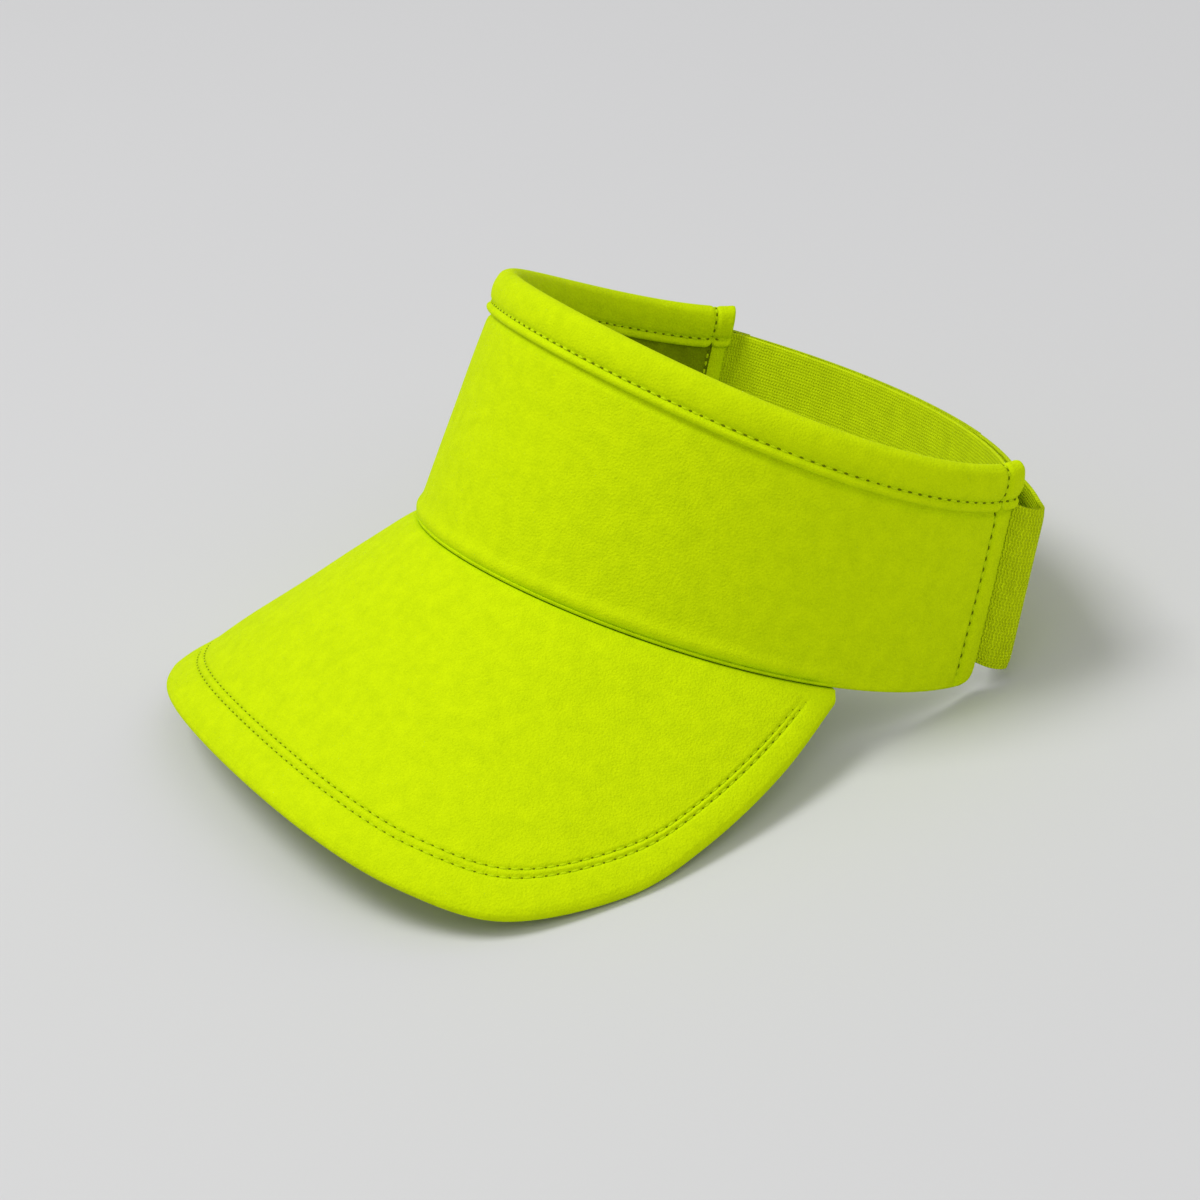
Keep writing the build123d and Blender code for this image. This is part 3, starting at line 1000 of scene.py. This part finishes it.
strap_width = 43.0
strap_thickness = 1.1
strap_inner = lay_cloth(
    "strap_inner", lay_ribbon(inner_line, strap_width, strap_thickness), 260, 40,
    strap_thickness, run_elastic, (inner_line.length * MM, strap_width * MM), 0.42,
)
strap_front = lay_cloth(
    "strap_front",
    lay_ribbon(front_line, strap_width, strap_thickness, wander=0.06, curl=0.35, sag=4.2),
    260, 60,
    strap_thickness, loop_elastic, (front_line.length * MM, strap_width * MM), 0.42,
)
strap_rear = lay_cloth(
    "strap_rear", lay_ribbon(rear_line, strap_width, strap_thickness, wander=0.06), 300, 60,
    strap_thickness, loop_elastic, (rear_line.length * MM, strap_width * MM), 0.42,
)

patch_height = 36.0
patch_thickness = 0.48


def lay_patch(start_x, end_x, radius):
    """A patch of tape that lies along an arc of the strap."""
    return lay_ribbon(Line(arc_run(start_x, end_x, radius)), patch_height, 0.5, wander=0.02)


loop_patch = lay_cloth(
    "loop_tape_patch", lay_patch(10, -57.9, loop_patch_radius), 90, 40, patch_thickness,
    loop_tape, (0.068, 0.036),
)
hook_patch = lay_cloth(
    "hook_tape_patch", lay_patch(-49.9, -24.1, hook_patch_radius), 60, 50, patch_thickness,
    hook_tape, (0.026, 0.036),
)


def lay_keeper(u, v):
    """A folded tape in the left tab; its tip shows above the strap."""
    height = -27.2 + 53.2 * v
    tip_share = min(max((height - 21.9) / 1.6, 0.0), 1.0)
    reach = -5.8 + (5.2 + 3.0 * tip_share) * u
    spot = tab_spot(reach, 0.05 + 0.31 * math.sin(math.pi * u) ** 0.4 + 0.9 * tip_share * u)
    crown = -1.2 * (1 - math.sin(math.pi * (0.25 + 0.5 * u))) if v > 0.9 else 0
    return on_strap(spot, height + crown + 0.25 * math.sin(u * 9) * tip_share)


keeper = lay_cloth("strap_keeper", lay_keeper, 26, 60, 1.0, keeper_cloth, (0.008, 0.053))

# %% [markdown]
# ## Stitching
#
# A stitch is a small lens of thread that sinks into the cloth at both ends, and between two
# stitches a small dark bead is painted shade for the needle's hole.  Both are copies of one tiny
# sphere, pressed flat and turned along the seam, and one object holds all of a seam.

# %% Sew a row
needle_pitch = 2.9
stitch_wide = 0.34
bead_form = bmesh.new()
bmesh.ops.create_uvsphere(bead_form, u_segments=6, v_segments=4, radius=1)
bead = bpy.data.meshes.new("bead")
bead_form.to_mesh(bead)
bead_form.free()


def sew(form, hole_shades, at, pitch_mm=needle_pitch, wide=stitch_wide, hole=0.55):
    """Adds a row of stitches and painted hole shades along at(share, lift), a place in mm."""
    row = Line([at(n / 600, 0.0) for n in range(601)])
    count = max(1, round(row.length / pitch_mm))
    for number in range(count):
        for where, length, width, height, target in (
            (number + 0.5, 0.37 * row.length / count, wide, 0.26, form),
            (number + 1.0, hole, 0.55 * hole, 0.18, hole_shades),
        ):
            share = min(where / count, 1.0)
            middle = at(share, 0.0)
            along = row.way(share)
            rise = (at(share, 1.0) - middle).normalized()
            aside = rise.cross(along).normalized()
            rise = along.cross(aside)
            turned = Matrix((along * length, aside * width, rise * height)).transposed().to_4x4()
            stitch = bead.copy()
            placed = Matrix.Translation(at(share, 0.08) * MM)
            stitch.transform(placed @ Matrix.Scale(MM, 4) @ turned)
            target.from_mesh(stitch)
            bpy.data.meshes.remove(stitch)
    return count


def seam_piece(name, rows):
    """One object of thread and one of painted needle-hole shade for several rows."""
    form, hole_shades = bmesh.new(), bmesh.new()
    count = sum(sew(form, hole_shades, *row) for row in rows)
    pieces = [
        finish_piece(form, name, thread), finish_piece(hole_shades, f"{name}_holes", needle_hole_shade)
    ]
    print(f"{name}: {count} stitches")
    return pieces


# %% [markdown]
# Each row is a function from a share of the seam to a place on the cloth it is sewn through.

# %% All the seams


def line_share(up_target, inner):
    """Where along the binding's section a seam lies, on its outer or inner leg."""
    shares = [n / 400 for n in range(401)]
    leg = [s for s in shares if (binding_line.at(s).y < 0) == inner]
    return min(leg, key=lambda s: abs(binding_line.at(s).x - up_target))


outer_seam = line_share(-7.6, False)
inner_seam = line_share(-7.4, True)
binding_middle = 1.1


def lifted(surface, away):
    """A row on a surface; away(share) gives the direction that a lift moves it."""
    return lambda share, lift: surface(share) + away(share) * lift


def out_way(t):
    return band_frame(t)[3]


def binding_row(v, t_from, t_to, sign):
    """A row round the binding; the sign is 1 outside and -1 inside."""

    def t_at(share):
        return t_from + (t_to - t_from) * share

    return lifted(
        lambda share: on_binding(t_at(share), v), lambda share: out_way(t_at(share)) * sign
    )


binding_seams = seam_piece(
    "binding_stitches",
    [
        (binding_row(outer_seam, -0.995, 0.995, 1),),
        (binding_row(inner_seam, -0.995, pocket_t - 0.03, -1),),
    ],
)

seam_t = 1 - seam_inset / mm_per_t
cross_t = 1 + binding_over - 6 / mm_per_t


def tab_row(side):
    def surface(share):
        up = 3 + (band_height(1) - 14) * share
        return on_band(side * seam_t, up, shell_skin(side * seam_t, up))

    return lifted(surface, lambda share: out_way(side * seam_t))


def over_binding(side, v_from, v_to):
    """The upright seam where it climbs over the binding."""

    def surface(share):
        return on_binding(side * cross_t, v_from + (v_to - v_from) * share)

    def away(share):
        middle = on_band(side * cross_t, band_height(1) - 4, binding_middle)
        return (surface(share) - middle).normalized()

    return lifted(surface, away)


def inside_row(share, lift):
    up = 4 + (band_height(1) - 15) * share
    return on_band(-seam_t, up, -0.46 - lift)


tab_seams = seam_piece(
    "tab_stitches",
    [
        (tab_row(1),), (tab_row(-1),), (inside_row, 2.2, 0.42),
        (over_binding(1, 0.03, 0.52), 2.2, 0.42),
        (over_binding(-1, 0.03, 0.97), 2.2, 0.42),
    ],
)


def brim_row(inset, side):
    """A row on the brim's top (1) or underside (-1), at an inset from its edge."""

    def surface(share):
        s = (2 * share - 1) * 0.90
        length = brim_frame(s)[4]
        reach = max(length - inset, brim_root(s, brim_half * side) + 0.4)
        raised = brim_swell(inset, s)
        raised = raised if side > 0 else 0.5 * min(0.0, raised)
        return on_brim(s, reach, side * (brim_half + raised))

    def away(share):
        return brim_frame((2 * share - 1) * 0.90)[3] * side

    return lifted(surface, away)


brim_seams = seam_piece(
    "brim_stitches",
    [
        (brim_row(inset, side), needle_pitch, stitch_wide, 0.40)
        for inset in rows_in for side in (1, -1)
    ],
)


def ribbon_row(line, height, lift_mm):
    """A lengthwise row on a ribbon."""

    def surface(share):
        return on_strap(line.at(share), height) + strap_spread(line.way(share)) * lift_mm

    return lifted(surface, lambda share: strap_spread(line.way(share)))


def across_row(line, share_at, lift_mm, half=19.0):
    """A row across a ribbon."""
    spot, face = line.at(share_at), strap_spread(line.way(share_at))
    return lambda share, lift: on_strap(spot, (2 * share - 1) * half) + face * (lift_mm + lift)


fold_line = Line(fold_back)
tail_seams = seam_piece(
    "tail_stitches",
    [(across_row(fold_line, share, 0.62),) for share in (0.55, 0.85)]
    + [(across_row(fold_line, share, -1.85),) for share in (0.55, 0.85)],
)
loop_patch_line = Line(arc_run(9, -56.9, loop_patch_radius))
patch_seams = seam_piece(
    "patch_stitches",
    [(ribbon_row(loop_patch_line, height, 0.02),) for height in (-16.6, 16.6)],
)


def sweatband_row(share, lift):
    t = 0.61 - 1.22 * share
    return on_band(t, 31.0, -2.05 - lift)


sweatband_seams = seam_piece("sweatband_stitches", [(sweatband_row,)])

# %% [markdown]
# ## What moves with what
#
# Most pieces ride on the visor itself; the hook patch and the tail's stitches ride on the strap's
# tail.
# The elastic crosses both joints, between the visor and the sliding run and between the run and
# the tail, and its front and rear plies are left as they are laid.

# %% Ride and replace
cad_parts["brim_board"].data.materials.clear()
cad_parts["brim_board"].data.materials.append(board)

on_visor = [
    band, band_foam, lining, facing, sweatband, binding, brim_top, brim_under, seam_tape,
    strap_inner, loop_patch, keeper,
    *binding_seams, *tab_seams, *brim_seams, *patch_seams, *sweatband_seams,
]
for piece in on_visor:
    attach(piece, "visor")
for piece in (hook_patch, *tail_seams):
    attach(piece, "strap_tail")

on_strap(tab_spot(2, 2), 0) * MM
on_strap(outer_arc[14], 0) * MM
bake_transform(strap_front)
on_strap(arc_run(-12, -40, strap_radius)[0], 0) * MM
on_strap(arc_run(-22, -40, strap_radius)[0], 0) * MM
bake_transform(strap_rear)

for piece, node, slot in (
    (band, ["band_shell"], "shell_fabric"),
    (band_foam, ["band_padding"], "foam"),
    (lining, ["band_lining"], "lining_fabric"),
    (sweatband, ["sweatband"], "sweatband_fabric"),
    (binding, ["top_binding"], "binding_fabric"),
    (brim_top, ["brim_top_cover"], "shell_fabric"),
    (brim_under, ["brim_under_cover"], "shell_fabric"),
    (seam_tape, ["seam_tape"], "tape"),
    (strap_inner, ["strap_inner_ply"], "elastic"),
    (strap_front, ["strap_loop", "strap_outer_ply"], "elastic"),
    (strap_rear, ["strap_tail", "tail_fold"], "elastic"),
    (loop_patch, ["loop_patch"], "loop_tape"),
    (hook_patch, ["hook_patch"], "hook_tape"),
    (keeper, ["keeper_bar"], "tape"),
):
    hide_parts(*node)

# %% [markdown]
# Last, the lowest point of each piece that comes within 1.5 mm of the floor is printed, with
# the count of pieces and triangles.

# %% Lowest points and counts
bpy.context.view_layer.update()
for piece in made:
    lowest = min(piece.data.vertices, key=lambda vert: vert.co.z).co
    if lowest.z < 0.0015:
        print(piece.name, "is lowest at", [round(1000 * v, 2) for v in lowest])
print("pieces:", len(made), "triangles:", sum(
    sum(len(face.vertices) - 2 for face in piece.data.polygons) for piece in made
))
